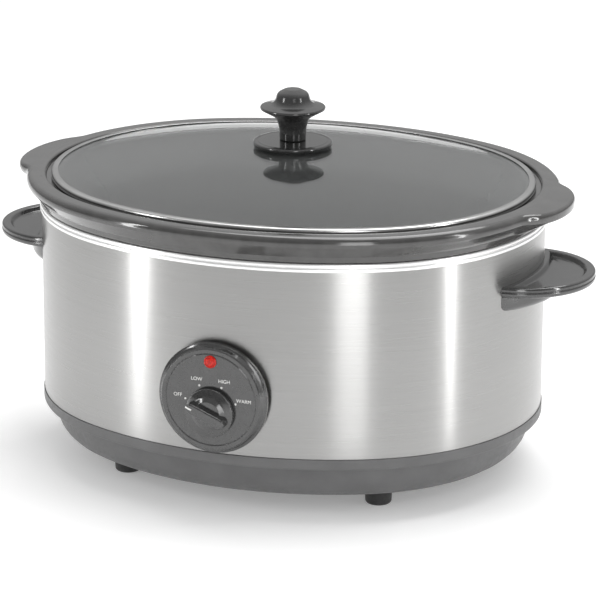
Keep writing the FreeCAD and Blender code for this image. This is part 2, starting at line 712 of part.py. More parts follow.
def wiring():
    """Mains wires under the liner and up to the switch, the heater and the earth tab."""
    entry = S.terminal_y - S.terminal_depth / 2
    low = S.foot_height + S.tray_wall + 5
    rear = S.side_radius - S.side_centre - 8
    front = -rear
    switch_bottom = S.knob_height - 12
    left, middle, right = terminal_columns()
    strand("wire_live", [
        (left, entry, low), (left, entry - 20, low), (-6, front + 22, low), (-6, front + 0.5, low + 30),
        (-6, front + 0.5, switch_bottom + 1),
    ], 6)
    strand("wire_neutral", [
        (right, entry, low), (right, entry - 16, low), (46, entry - 16, low), (46, rear - 20, low),
        (30, rear - 8.8, low + 20), (30, rear - 8.8, S.heater_bottom),
    ], 6)
    strand("wire_earth", [
        (middle, entry, low), (middle, entry - 24, low), (S.earth_x, 50, low), (S.earth_x, 38, low),
        (S.earth_x, 38, S.liner_floor - 0.8),
    ], 5)
    heater_middle = S.side_radius - S.side_centre - S.liner_gap + S.liner_sheet + S.heater_depth / 2
    switch_top = S.knob_height + 12
    for name, x in (("wire_low_heat", -5), ("wire_high_heat", 5)):
        place = (x, -heater_middle - 1.3, switch_top - 1)
        keep(name, rod("HeatWire", S.wire_radius, S.heater_bottom - switch_top + 1, place))


def cord_entry():
    """The flanged bush in the shell's rear that the mains cord passes through, and its nut."""
    wall = S.side_radius - S.side_centre
    keep("cord_gland", turned("Gland", [
        (S.gland_bore, -S.gland_inside), (S.gland_radius, -S.gland_inside), (S.gland_radius, 0), (9.5, 0),
        (9.5, 3, 1), (S.gland_radius + 1, 4, 2), (S.gland_radius - 0.8, S.gland_reach, 0.8),
        (S.gland_bore, S.gland_reach),
    ], (0, wall, S.gland_height), REAR))
    keep("gland_nut", hex_nut("GlandNut", 17, 3, S.gland_radius, (0, wall - 4, S.gland_height), REAR))


# Pot

def lug(side):
    """A grip at one end of the pot's rim: broad shoulders, a notch beside each, and a rising underside."""
    slab = new_body("LugSlab")
    plan = new_sketch(slab, "LugPlan", "XY_Plane", (0, 0, S.pot_rest))
    inside = S.end_centre + S.end_radius - 30
    draw_outline(plan, [
        (inside, -S.lug_notch_y), (S.lug_notch_x, -S.lug_notch_y, 3),
        (S.lug_shoulder_x, -S.lug_shoulder_y, 8), (S.lug_tip, 0, 120),
        (S.lug_shoulder_x, S.lug_shoulder_y, 8), (S.lug_notch_x, S.lug_notch_y, 3), (inside, S.lug_notch_y),
    ])
    pad(slab, plan, S.lug_top - S.pot_rest)
    high = S.lug_top.value - 0.01
    round_edges(slab, S.lug_round, lambda edge: edge.BoundBox.ZMin > high and edge.BoundBox.XMax > 160)
    wedge = new_body("LugWedge")
    section = new_sketch(wedge, "LugSection", "XZ_Plane", (S.end_centre, 0, 0))
    root = S.end_radius + S.lug_root
    tip = S.lug_tip - S.end_centre + 1
    draw_outline(section, [
        (root, S.lug_root_height), (tip, S.lug_tip_height), (tip, S.lug_top + 1), (root, S.lug_top + 1),
    ])
    revolve(wedge, section, "V_Axis", "60 deg")
    grip = doc.addObject("Part::Common", "LugGrip")
    grip.Base = slab
    grip.Tool = wedge
    return put(grip, (0, 0, 0), UP, 0 if side > 0 else 180)


def stoneware_pot():
    """The glazed pot, which hangs by its rim. The rim has a recess for the lid and a grip at each end."""
    pot = oval("PotWall", [
        (AXIS, S.pot_bottom), (-S.pot_outside - S.pot_draft, S.pot_bottom, S.pot_corner),
        (-S.pot_outside, S.pot_flare, 14), (-10, S.pot_rest, 4), (0.5, S.pot_rest, 1.5),
        (S.pot_rim_out, S.pot_top, 4.6), (-S.pot_rim_in, S.pot_top, 1.2), (-S.pot_rim_in, S.lid_seat, 1),
        (-S.seat_inner, S.lid_seat, 4), (-S.pot_inside, S.pot_waist, 18),
        (-S.pot_inside - S.pot_draft, S.pot_bottom + S.pot_floor, S.pot_corner - 2),
        (AXIS, S.pot_bottom + S.pot_floor),
    ])
    keep("stoneware_pot", fuse("Pot", [pot, lug(1), lug(-1)]))


# Lid

def oval_wire(offset, scale, height):
    """The outline moved outward by an offset and then scaled about the origin, at a height."""
    reach = (S.end_radius.value + offset) * scale
    side_reach = (S.side_radius.value + offset) * scale
    centre = S.end_centre.value * scale
    lean = math.atan2(S.side_centre.value, S.end_centre.value)
    join_x = centre + reach * math.cos(lean)
    join_y = reach * math.sin(lean)
    end_x = centre + reach
    side_y = side_reach - S.side_centre.value * scale
    stops = [
        (join_x, -join_y), (end_x, 0), (join_x, join_y), (0, side_y),
        (-join_x, join_y), (-end_x, 0), (-join_x, -join_y), (0, -side_y), (join_x, -join_y),
    ]
    stops = [FreeCAD.Vector(x, y, height) for x, y in stops]
    return Part.Wire([Part.Arc(*stops[i:i + 3]).toShape() for i in (0, 2, 4, 6)])


def dome(offset, rim_scale, rim_height, rise, drop):
    """The space under a dome that rises from a scaled oval to a small flat top."""
    steps = 9
    flat_scale = 0.16
    wires = []
    for i in range(steps + 1):
        scale = rim_scale + (flat_scale - rim_scale) * i / steps
        share = (scale - flat_scale) / (rim_scale - flat_scale)
        wires.append(oval_wire(offset, scale, rim_height + rise * (1 - share ** 2) - drop))
    return Part.makeLoft(wires, True, False)


def lid_glass():
    """The glass: a flat edge in the band, and a shallow dome up to the knob's seat."""
    offset = -(S.lid_edge + S.lid_band_sheet + 0.05).value
    low = (S.lid_band_bottom + S.lid_band_sheet + 0.02).value
    high = (S.lid_band_top - S.lid_band_sheet - 0.02).value
    thick = S.glass_thick.value
    rim_scale = 0.965
    inner_scale = 0.955
    edge = Part.Face(oval_wire(offset, 1, low)).extrude(FreeCAD.Vector(0, 0, high - low))
    over = dome(offset, rim_scale, high - 0.02, S.glass_top.value - high + 0.02, 0)
    under = dome(offset, inner_scale, high, S.glass_top.value - high, thick)
    well = Part.Face(oval_wire(offset, inner_scale, low - 2))
    well = well.extrude(FreeCAD.Vector(0, 0, high - thick - low + 2))
    hole = Part.makeCylinder(S.knob_hole.value, 40, FreeCAD.Vector(0, 0, low))
    shape = edge.fuse(over).cut(under.fuse(well)).cut(hole).removeSplitter()
    glass = doc.addObject("Part::Feature", "LidGlass")
    glass.Shape = shape
    keep("lid_glass", glass)


def lid_band():
    """The steel band folded round the edge of the glass."""
    sheet = S.lid_band_sheet
    outer = -S.lid_edge
    inner = outer - S.lid_band_width
    low = S.lid_band_bottom
    high = S.lid_band_top
    band = oval("LidBand", [(inner, low), (outer, low, 0.5), (outer, high, 0.8), (inner, high)])
    groove = oval("LidBandGroove", [
        (inner - 1, low + sheet), (outer - sheet, low + sheet), (outer - sheet, high - sheet),
        (inner - 1, high - sheet),
    ])
    keep("lid_rim", cut("LidBand", band, [groove]))


def lid_knob():
    """The knob with its skirt, screwed down through the glass on a gasket."""
    glass = S.glass_top
    seat = glass + S.gasket_thick
    shank = S.knob_screw_radius
    skirt = S.skirt_radius
    neck = S.skirt_top + 0.6
    brim = S.brim_radius
    keep("knob_gasket", turned("KnobGasket", ring_corners(shank + 0.7, 12, S.gasket_thick), (0, 0, glass)))
    keep("knob_skirt", turned("KnobSkirt", [
        (shank + 0.1, seat), (skirt - 0.5, seat, 0.6), (skirt, S.skirt_top, 1.2), (shank + 0.1, neck),
    ]))
    knob = turned("KnobCap", [
        (0, neck + 0.3), (S.stem_radius - 0.3, neck + 0.3), (S.stem_radius, neck + 8),
        (S.stem_radius + 1.4, S.brim_height - 8, 3), (brim - 8.6, S.brim_height - 4.6, 6),
        (brim, S.brim_height, 1), (brim, S.brim_height + 2.8, 1.3), (13.2, S.brim_height + 4.8, 6),
        (9.6, S.knob_top, 7.2), (0, S.knob_top),
    ])
    keep("lid_knob", cut("KnobCap", knob, [rod("KnobPilot", shank, 16, (0, 0, neck - 1))]))
    under = glass - S.glass_thick
    keep("knob_washer", turned("KnobWasher", ring_corners(shank + 0.2, 8, 1), (0, 0, under - 1)))
    length = neck + 14 - (under - 1)
    keep("knob_screw", turned("KnobScrew", screw_corners(shank, length, 4.6, 2.8), (0, 0, under - 1)))


def build():
    outer_shell()
    heating_liner()
    heater()
    thermal_fuses()
    base_tray()
    feet()
    tie_bolt()
    handle("handle_right", 0)
    handle("handle_left", 180)
    handle_fasteners()
    control_panel()
    lamp()
    switch()
    control_knob()
    terminals()
    wiring()
    cord_entry()
    stoneware_pot()
    lid_glass()
    lid_band()
    lid_knob()


def check_document():
    """Stop on any object that failed, and on any sub-part without a good solid."""
    doc.recompute()
    for item in doc.Objects:
        if "Invalid" in item.State or "Error" in item.State:
            raise RuntimeError(f"{item.Name} ({item.Label}) failed: {item.getStatusString()}")
    for label, piece in PARTS.items():
        if piece.Shape.isNull() or not piece.Shape.isValid() or not piece.Shape.Solids:
            raise RuntimeError(f"{label} has no valid solid")


def write_parts():
    os.makedirs("parts", exist_ok=True)
    for label, piece in PARTS.items():
        piece.Shape.exportStep(f"parts/{label}.step")
        box = piece.Shape.BoundBox
        print(f"{label:20s} {len(piece.Shape.Solids)} solids {piece.Shape.Volume:10.0f} mm3",
              f"x {box.XMin:.1f}..{box.XMax:.1f} y {box.YMin:.1f}..{box.YMax:.1f} "
              f"z {box.ZMin:.1f}..{box.ZMax:.1f}")


build()
check_document()
write_parts()
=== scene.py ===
import json
import math

import bmesh
import bpy
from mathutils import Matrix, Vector


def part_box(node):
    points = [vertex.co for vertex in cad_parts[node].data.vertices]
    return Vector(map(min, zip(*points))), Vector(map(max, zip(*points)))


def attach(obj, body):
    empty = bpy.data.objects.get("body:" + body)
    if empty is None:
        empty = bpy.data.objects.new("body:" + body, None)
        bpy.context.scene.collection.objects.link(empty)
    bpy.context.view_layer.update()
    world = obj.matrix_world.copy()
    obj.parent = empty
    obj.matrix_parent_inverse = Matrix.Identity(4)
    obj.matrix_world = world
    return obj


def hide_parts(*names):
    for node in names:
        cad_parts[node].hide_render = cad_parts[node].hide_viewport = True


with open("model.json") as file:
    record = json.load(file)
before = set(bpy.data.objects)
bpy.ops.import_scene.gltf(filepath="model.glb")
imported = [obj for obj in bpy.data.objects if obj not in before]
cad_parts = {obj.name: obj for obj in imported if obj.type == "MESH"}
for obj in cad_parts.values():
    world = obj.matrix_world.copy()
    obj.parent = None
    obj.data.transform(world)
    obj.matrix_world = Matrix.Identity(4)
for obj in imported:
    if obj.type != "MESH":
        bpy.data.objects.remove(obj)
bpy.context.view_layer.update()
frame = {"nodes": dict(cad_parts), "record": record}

# The looks of an oval slow cooker, built round its CAD frame. Lengths are in metres, +Z is up and the
# control faces -Y. Fine meshes stand for the pieces that show, and every piece has its own material.

MM = 0.001
RECORD = frame["record"]
BODY_OF = {node: body for body, nodes in RECORD["behaviour"]["bodies"].items() for node in nodes}
SLOT_OF = {part["node"]: part["material_slot"] for part in RECORD["subparts"]}
UP = Vector((0, 0, 1))
FRONT = Vector((0, -1, 0))
REAR = Vector((0, 1, 0))

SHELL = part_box("outer_shell")
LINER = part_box("heating_liner")
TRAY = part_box("base_tray")
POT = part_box("stoneware_pot")
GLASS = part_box("lid_glass")
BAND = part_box("lid_rim")
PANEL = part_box("control_panel")
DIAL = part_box("control_knob")
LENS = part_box("indicator_lens")
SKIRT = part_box("knob_skirt")
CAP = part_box("lid_knob")
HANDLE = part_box("handle_right")
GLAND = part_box("cord_gland")

# The plan's four arcs: the centres of the end arcs are on X and those of the side arcs on Y.
END_CENTRE = 39 * MM
SIDE_CENTRE = 80 * MM
END_RADIUS = SHELL[1].x - END_CENTRE
SIDE_RADIUS = SHELL[1].y + SIDE_CENTRE
LEAN = math.atan2(SIDE_CENTRE, END_CENTRE)

OVAL_STEPS = 320
ROUND_STEPS = 96
ARC_STEPS = 6
SHARP_ANGLE = math.radians(38)

# A corner that turns by less than this many radians is taken as straight.
STRAIGHT = 0.001

# The camera's angles are in degrees, and its shift is a share of the picture's width.
CAMERA_TARGET_HEIGHT = 120.9 * MM
CAMERA_DISTANCE = 2.4888
CAMERA_AZIMUTH = 20.0
CAMERA_ELEVATION = 17.05
CAMERA_ROLL = 0.23
CAMERA_SHIFT = (0.0131, -0.0188)
LENS_MM = 209.9
SENSOR_MM = 36


# Mesh helpers

def oval_point(angle, offset, height, scale=1.0):
    """The point of the oval whose outward normal has this angle, moved outward and then scaled."""
    turn = abs(math.remainder(angle, 2 * math.pi))
    if LEAN < turn < math.pi - LEAN:
        side = math.copysign(1, math.sin(angle))
        centre, radius = Vector((0, -side * SIDE_CENTRE)), SIDE_RADIUS
    else:
        end = math.copysign(1, math.cos(angle))
        centre, radius = Vector((end * END_CENTRE, 0)), END_RADIUS
    flat = (centre + Vector((math.cos(angle), math.sin(angle))) * (radius + offset)) * scale
    return Vector((flat.x, flat.y, height))


def rounded(corners, closed=True):
    """The points of an outline through corners (x, y), each with an arc where a radius follows."""
    points = []
    for i, corner in enumerate(corners):
        spot = Vector(corner[:2])
        inside = closed or 0 < i < len(corners) - 1
        if len(corner) < 3 or not inside:
            points.append(spot)
            continue
        back = (Vector(corners[i - 1][:2]) - spot).normalized()
        ahead = (Vector(corners[(i + 1) % len(corners)][:2]) - spot).normalized()
        half = min(back.angle(ahead) / 2, math.pi / 2 - STRAIGHT / 4)
        centre = spot + (back + ahead).normalized() * corner[2] / math.sin(half)
        start = spot + back * corner[2] / math.tan(half) - centre
        stop = spot + ahead * corner[2] / math.tan(half) - centre
        bend = math.pi - 2 * half
        for step in range(ARC_STEPS + 1):
            along = step / ARC_STEPS
            if bend < STRAIGHT:
                points.append(centre + start.lerp(stop, along))
                continue
            blend = start * math.sin((1 - along) * bend) + stop * math.sin(along * bend)
            points.append(centre + blend / math.sin(bend))
    return points


def loft(rings, tube=False):
    """Quads between neighbouring rings. A tube joins its last ring to its first, and others are capped."""
    count = len(rings[0])
    points = [point for ring in rings for point in ring]
    faces = []
    for i in range(len(rings) if tube else len(rings) - 1):
        low = i * count
        high = (i + 1) % len(rings) * count
        for j in range(count):
            k = (j + 1) % count
            faces.append((low + j, low + k, high + k, high + j))
    if not tube:
        faces.append(tuple(range(count)))
        faces.append(tuple(range(len(points) - count, len(points))))
    return points, faces


def sweep(profile, tube=True):
    """A profile of (offset, height) points, or a function that gives it for an angle, round the oval."""
    columns = []
    for step in range(OVAL_STEPS):
        angle = 2 * math.pi * step / OVAL_STEPS
        outline = profile(angle) if callable(profile) else profile
        columns.append([oval_point(angle, offset, height) for offset, height in outline])
    return loft([list(ring) for ring in zip(*columns)], tube)


def circle(radius, height, centre, direction, steps=ROUND_STEPS):
    turn = UP.rotation_difference(direction).to_matrix()
    angles = [2 * math.pi * step / steps for step in range(steps)]
    return [centre + turn @ Vector((radius * math.cos(a), radius * math.sin(a), height)) for a in angles]


def lathe(profile, centre, direction=UP, tube=False):
    """A profile of (radius, height) points, turned about the direction through the centre."""
    return loft([circle(radius, height, centre, direction) for radius, height in profile], tube)


def joined(*shapes):
    """Several shapes as one."""
    points, faces = [], []
    for more_points, more_faces in shapes:
        first = len(points)
        points += more_points
        faces += [tuple(first + index for index in face) for face in more_faces]
    return points, faces


def add_piece(name, shape, look, *nodes):
    """Make a shape a visible piece that stands for CAD nodes and rides with them."""
    mesh = bpy.data.meshes.new(name)
    mesh.from_pydata([tuple(point) for point in shape[0]], [], shape[1])
    work = bmesh.new()
    work.from_mesh(mesh)
    bmesh.ops.recalc_face_normals(work, faces=work.faces)
    work.to_mesh(mesh)
    work.free()
    mesh.materials.append(look)
    mesh.shade_smooth()
    mesh.set_sharp_from_angle(angle=SHARP_ANGLE)
    piece = bpy.data.objects.new(name, mesh)
    bpy.context.scene.collection.objects.link(piece)
    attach(piece, BODY_OF[nodes[0]])
    return piece


def replace(name, shape, look, *nodes):
    piece = add_piece(name, shape, look, *nodes)
    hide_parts(*nodes)


# Materials

class Look:
    """A material in the making: values on its Principled shader, and nodes that vary them."""

    def __init__(self, name, color, roughness, **values):
        self.material = bpy.data.materials.new(name)
        self.material.use_nodes = True
        self.tree = self.material.node_tree
        self.shader = self.tree.nodes["Principled BSDF"]
        self.color = color
        self.shader.inputs["Base Color"].default_value = (*color, 1)
        self.shader.inputs["Roughness"].default_value = roughness
        for socket, value in values.items():
            self.shader.inputs[socket.replace("_", " ").title().replace("Ior", "IOR")].default_value = value
        self.coords = self.tree.nodes.new("ShaderNodeTexCoord").outputs["Object"]

    def node(self, kind, inputs, **settings):
        node = self.tree.nodes.new("ShaderNode" + kind)
        for name, value in settings.items():
            setattr(node, name, value)
        for name, value in inputs.items():
            if isinstance(value, bpy.types.NodeSocket):
                self.tree.links.new(value, node.inputs[name])
            else:
                node.inputs[name].default_value = value
        return node

    def noise(self, scale, detail=4.0, stretch=(1, 1, 1)):
        place = self.node("Mapping", {"Vector": self.coords, "Scale": stretch})
        texture = self.node("TexNoise", {"Vector": place.outputs[0], "Scale": scale, "Detail": detail})
        return texture.outputs["Fac"]

    def cells(self, scale, stretch=(1, 1, 1)):
        place = self.node("Mapping", {"Vector": self.coords, "Scale": stretch})
        texture = self.node("TexVoronoi", {"Vector": place.outputs[0], "Scale": scale})
        return texture.outputs["Distance"]

    def spread(self, factor, low, high, start=0.3, stop=0.7):
        values = {"Value": factor, "From Min": start, "From Max": stop, "To Min": low, "To Max": high}
        return self.node("MapRange", values).outputs[0]

    def tint(self, factor, low, high):
        """Let the base colour run between two shades of itself."""
        mix = self.node("Mix", {"Factor": self.spread(factor, 0, 1)}, data_type="RGBA")
        for number, share in ((6, low), (7, high)):
            mix.inputs[number].default_value = (*(channel * share for channel in self.color), 1)
        self.tree.links.new(mix.outputs[2], self.shader.inputs["Base Color"])
        return self

    def rough(self, factor, low, high):
        self.tree.links.new(self.spread(factor, low, high), self.shader.inputs["Roughness"])
        return self

    def bump(self, factor, depth):
        """Raise the surface by up to a depth, on top of any earlier bump."""
        bump = self.node("Bump", {"Height": factor, "Distance": depth})
        normal = self.shader.inputs["Normal"]
        if normal.links:
            self.tree.links.new(normal.links[0].from_socket, bump.inputs["Normal"])
        self.tree.links.new(bump.outputs[0], normal)
        return self

    def grain_round_z(self):
        """Aim the highlights' stretch up and down, across a grain that runs round the Z axis."""
        tangent = self.node("Tangent", {}, direction_type="RADIAL", axis="Z")
        self.tree.links.new(tangent.outputs[0], self.shader.inputs["Tangent"])
        return self


def brushed_steel():
    look = Look("brushed_steel", (0.39, 0.388, 0.383), 0.3, metallic=1, anisotropic=0.9,
                anisotropic_rotation=0.25)
    fine = look.noise(1, 3, (20, 20, 3600))
    broad = look.noise(1, 2, (5, 5, 700))
    look.grain_round_z().tint(broad, 0.985, 1.015).rough(fine, 0.27, 0.31)
    return look.bump(fine, 0.006 * MM).material


# Near-white base with only part metal: the diffuse white share is a painted reflection that makes the rolled
# rim read bright.
def rim_steel_painted_reflection():
    look = Look("rim_steel_painted_reflection", (0.93, 0.93, 0.925), 0.3, metallic=0.7)
    wear = look.noise(12, 1)
    return look.tint(wear, 0.98, 1.01).rough(wear, 0.29, 0.32).bump(look.noise(700, 2), 0.002 * MM).material


def folded_steel():
    look = Look("folded_steel", (0.55, 0.55, 0.545), 0.22, metallic=1)
    wear = look.noise(45, 5)
    return look.tint(wear, 0.93, 1.04).rough(wear, 0.16, 0.28).bump(look.noise(900, 2), 0.004 * MM).material


def black_glaze():
    look = Look("black_glaze", (0.05, 0.049, 0.048), 0.14, coat_weight=0.6, coat_roughness=0.04)
    mottle = look.noise(90, 6)
    look.tint(mottle, 0.85, 1.25).rough(look.noise(35, 3), 0.1, 0.2)
    return look.bump(look.noise(140, 2), 0.05 * MM).bump(look.cells(900), 0.01 * MM).material


def clear_glass():
    look = Look("clear_glass", (0.84, 0.86, 0.855), 0.0, transmission_weight=0.93, ior=1.5)
    return look.rough(look.noise(18, 4), 0.0, 0.02).bump(look.noise(9, 1), 0.01 * MM).material


def black_plastic():
    look = Look("black_plastic", (0.03, 0.03, 0.03), 0.13, specular_ior_level=0.9, coat_weight=0.3,
                coat_roughness=0.06)
    mottle = look.noise(220, 4)
    look.tint(mottle, 0.85, 1.25).rough(look.noise(60, 4), 0.09, 0.19)
    return look.bump(mottle, 0.008 * MM).material


def satin_plastic():
    look = Look("satin_plastic", (0.12, 0.12, 0.121), 0.4, specular_ior_level=0.5)
    grain = look.cells(2100)
    look.tint(look.noise(50, 5), 0.9, 1.12).rough(look.noise(300, 3), 0.36, 0.5)
    return look.bump(grain, 0.05 * MM).material


def red_lens():
    look = Look("red_lens", (0.5, 0.012, 0.005), 0.25, specular_ior_level=0.3, coat_weight=0.15,
                coat_roughness=0.06)
    ribs = look.cells(900)
    return look.tint(ribs, 0.7, 1.3).rough(look.noise(400, 2), 0.1, 0.2).bump(ribs, 0.06 * MM).material


def print_white():
    look = Look("print_white", (0.82, 0.82, 0.8), 0.45)
    return look.tint(look.noise(900, 3), 0.88, 1.05).rough(look.noise(700, 2), 0.4, 0.55).material


def rubber():
    look = Look("rubber", (0.03, 0.03, 0.03), 0.62, sheen_weight=0.2)
    look.tint(look.noise(160, 5), 0.8, 1.3).rough(look.noise(500, 3), 0.55, 0.75)
    return look.bump(look.noise(1500, 3), 0.05 * MM).material


def plated_metal(name, color, roughness):
    look = Look(name, color, roughness, metallic=1)
    patches = look.noise(260, 5)
    look.tint(patches, 0.85, 1.08).rough(look.noise(500, 4), roughness * 0.7, roughness * 1.4)
    return look.bump(look.noise(1600, 3), 0.01 * MM).material


def plain_plastic(name, color, roughness=0.45):
    look = Look(name, color, roughness)
    look.tint(look.noise(150, 4), 0.9, 1.08).rough(look.noise(600, 3), roughness * 0.8, roughness * 1.2)
    return look.bump(look.noise(1800, 3), 0.02 * MM).material


def woven_tape():
    look = Look("woven_tape", (0.7, 0.66, 0.58), 0.85, sheen_weight=0.3)
    weave = look.cells(1, (700, 700, 500))
    return look.tint(weave, 0.7, 1.1).bump(weave, 0.3 * MM).rough(look.noise(300, 2), 0.75, 0.95).material


def lamp_glass():
    look = Look("lamp_glass", (0.95, 0.75, 0.6), 0.05, transmission_weight=0.9, ior=1.5)
    return look.rough(look.noise(400, 2), 0.02, 0.1).bump(look.noise(120, 2), 0.02 * MM).material


LOOKS = {
    "brushed_steel": brushed_steel(),
    # The rim's steel carries a painted white reflection in its base colour.
    "polished_steel": rim_steel_painted_reflection(),
    "zinc_steel": plated_metal("zinc_steel", (0.6, 0.6, 0.62), 0.35),
    "heater_tape": woven_tape(),
    "black_glaze": black_glaze(),
    "clear_glass": clear_glass(),
    "black_plastic": black_plastic(),
    "dark_plastic": satin_plastic(),
    "red_lens": red_lens(),
    "lamp_glass": lamp_glass(),
    "rubber": rubber(),
    "silicone": plain_plastic("silicone", (0.45, 0.45, 0.44), 0.55),
    "brass": plated_metal("brass", (0.75, 0.58, 0.28), 0.3),
    "white_plastic": plain_plastic("white_plastic", (0.8, 0.8, 0.77)),
    "wire_brown": plain_plastic("wire_brown", (0.2, 0.09, 0.04), 0.4),
    "wire_blue": plain_plastic("wire_blue", (0.05, 0.12, 0.5), 0.4),
    "wire_green": plain_plastic("wire_green", (0.12, 0.42, 0.08), 0.4),
}
PRINT = print_white()
BAND_LOOK = folded_steel()

for node_name, node_object in frame["nodes"].items():
    for material_slot in node_object.material_slots:
        material_slot.material = LOOKS[SLOT_OF[node_name]]


# Housing

def outer_shell():
    low, high = SHELL[0].z, SHELL[1].z
    profile = rounded([(-0.8 * MM, low), (0, low, 0.2 * MM), (0, high), (-0.8 * MM, high)])
    heights = [low + (high - low) * step / 8 for step in range(1, 8)]
    skin = [(0, height) for height in heights]
    cut = next(i for i, point in enumerate(profile) if point[1] == high)
    profile = profile[:cut] + [Vector(point) for point in skin] + profile[cut:]
    replace("shell_wrap", sweep(profile), LOOKS["brushed_steel"], "outer_shell")


def heating_liner():
    """The pan with its flange rolled over the shell's edge in two beads."""
    top = LINER[1].z
    floor = LINER[0].z
    rim_low = LINER[0].z + 117.5 * MM
    wall, skirt = -17 * MM, 1.2 * MM
    bead = (top - rim_low) / 2
    flare = 170 * MM
    pan = rounded([
        (-60 * MM, floor), (wall + 1 * MM, floor, 13 * MM), (wall + 1 * MM, flare, 8 * MM),
        (-2.6 * MM, top - 1 * MM),
        (0.05 * MM, top - 1 * MM), (0.05 * MM, rim_low), (skirt, rim_low, 0.55 * MM),
        (skirt, rim_low + bead * 0.86, 1.1 * MM), (skirt - 1.1 * MM, rim_low + bead, 0.3 * MM),
        (skirt, rim_low + bead * 1.14, 1.1 * MM), (skirt, top, 1.2 * MM), (-3.5 * MM, top, 1 * MM),
        (wall, flare, 7 * MM), (wall, floor + 1 * MM, 12 * MM), (-60 * MM, floor + 1 * MM),
    ], closed=False)
    replace("liner_pan", sweep(pan, tube=False), LOOKS["polished_steel"], "heating_liner")


def base_tray():
    low = TRAY[0].z
    step = SHELL[0].z - 8.3 * MM
    top = SHELL[0].z
    bowl = rounded([
        (-60 * MM, low), (-13 * MM, low, 20 * MM), (-6.5 * MM, step - 0.6 * MM, 1.2 * MM),
        (0.6 * MM, step + 0.8 * MM, 1.2 * MM), (0.6 * MM, top - 0.1 * MM, 0.5 * MM),
        (-0.9 * MM, top - 0.1 * MM),
        (-0.9 * MM, TRAY[1].z), (-3.1 * MM, TRAY[1].z), (-3.1 * MM, step + 1.2 * MM), (-8.7 * MM, step),
        (-15.2 * MM, low + 2.2 * MM, 17.8 * MM), (-60 * MM, low + 2.2 * MM),
    ], closed=False)
    replace("tray_bowl", sweep(bowl, tube=False), LOOKS["dark_plastic"], "base_tray")


def crescent(centre_x, radius, inset, height, side):
    """A D-shaped ring: an outer arc, and an inner arc that stands off the shell by the inset."""
    inner = END_RADIUS + 0.1 * MM + inset
    gap = centre_x - END_CENTRE
    meet_x = (inner ** 2 - radius ** 2 + gap ** 2) / (2 * gap)
    half_width = math.sqrt(inner ** 2 - meet_x ** 2)
    outer_half = math.atan2(half_width, meet_x - gap)
    inner_half = math.atan2(half_width, meet_x)
    ring = []
    for step in range(49):
        angle = -outer_half + 2 * outer_half * step / 48
        ring.append((centre_x + radius * math.cos(angle), radius * math.sin(angle)))
    for step in range(1, 32):
        angle = inner_half - 2 * inner_half * step / 32
        ring.append((END_CENTRE + inner * math.cos(angle), inner * math.sin(angle)))
    return [Vector((side * x, side * y, height)) for x, y in ring]


def handle(name, side):
    """The ledge with a lipped edge and a dished top, over a keel against the shell."""
    centre = 168.5 * MM
    radius = HANDLE[1].x - centre
    keel_centre, keel_radius = 129 * MM, 66 * MM
    top = HANDLE[1].z
    low = HANDLE[0].z - top
    rings = []
    keel = rounded([(-12 * MM, low), (0, low, 5 * MM), (0, -7.3 * MM, 0.8 * MM)], closed=False)
    for inset, height in keel:
        rings.append(crescent(keel_centre, keel_radius + inset, 0, top + height, side))
    edge = rounded([
        (-9.5 * MM, -7.5 * MM), (0.0, -7.5 * MM, 2.4 * MM), (0.0, -4 * MM, 0.6 * MM),
        (-1 * MM, -3.5 * MM, 0.4 * MM),
        (-0.1 * MM, -2.9 * MM, 0.6 * MM), (-0.1 * MM, 0.0, 1.7 * MM), (-6.2 * MM, 0.0, 1.8 * MM),
        (-8.4 * MM, -3 * MM, 2 * MM), (-14 * MM, -3.6 * MM),
    ], closed=False)
    for inset, height in edge:
        inner_inset = max(0.0, -inset - 3 * MM) if height > -3.7 * MM else 0.0
        rings.append(crescent(centre, radius + inset, inner_inset, top + height, side))
    replace(name + "_moulding", loft(rings), LOOKS["black_plastic"], name)


def control_panel():
    """The round bezel: a collar scribed to the shell, a wider flange, and a double line round its face."""
    centre = Vector((0, 0, (PANEL[0].z + PANEL[1].z) / 2))
    radius = (PANEL[1].z - PANEL[0].z) / 2
    face = -PANEL[0].y
    rings = []
    collar = radius - 2.7 * MM
    scribed = circle(collar, 0, centre, FRONT)
    for point in scribed:
        point.y = SIDE_CENTRE - math.sqrt((SIDE_RADIUS + 0.05 * MM) ** 2 - point.x ** 2)
    rings.append(scribed)
    rim = rounded([
        (collar, face - 9.2 * MM), (collar, face - 8.2 * MM, 0.4 * MM),
        (radius - 0.2 * MM, face - 7.7 * MM, 0.5 * MM),
        (radius, face - 4.2 * MM, 1.3 * MM), (radius - 1.7 * MM, face - 3.2 * MM, 0.4 * MM),
        (radius - 3 * MM, face - 0.9 * MM, 0.8 * MM), (radius - 3.8 * MM, face, 0.5 * MM),
        (radius - 6.4 * MM, face, 0.25 * MM), (radius - 6.8 * MM, face - 0.4 * MM, 0.2 * MM),
        (radius - 7.3 * MM, face, 0.25 * MM), (radius - 10 * MM, face),
    ], closed=False)
    for reach, depth in rim:
        rings.append(circle(reach, depth, centre, FRONT))
    replace("panel_bezel", loft(rings), LOOKS["black_plastic"], "control_panel")


def indicator_lens():
    centre = Vector((0, 0, (LENS[0].z + LENS[1].z) / 2))
    radius = (LENS[1].z - LENS[0].z) / 2
    top = -LENS[0].y
    dome = rounded([
        (radius, top - 10 * MM), (radius, top - 0.9 * MM, 0.5 * MM),
        (radius - 0.9 * MM, top - 0.5 * MM, 0.3 * MM), (radius - 1.1 * MM, top - 0.9 * MM, 0.3 * MM),
        (radius - 2 * MM, top - 0.1 * MM, 1.5 * MM), (0.2 * MM, top),
    ], closed=False)
    replace("lens_dome", lathe(dome, centre, FRONT), LOOKS["red_lens"], "indicator_lens")


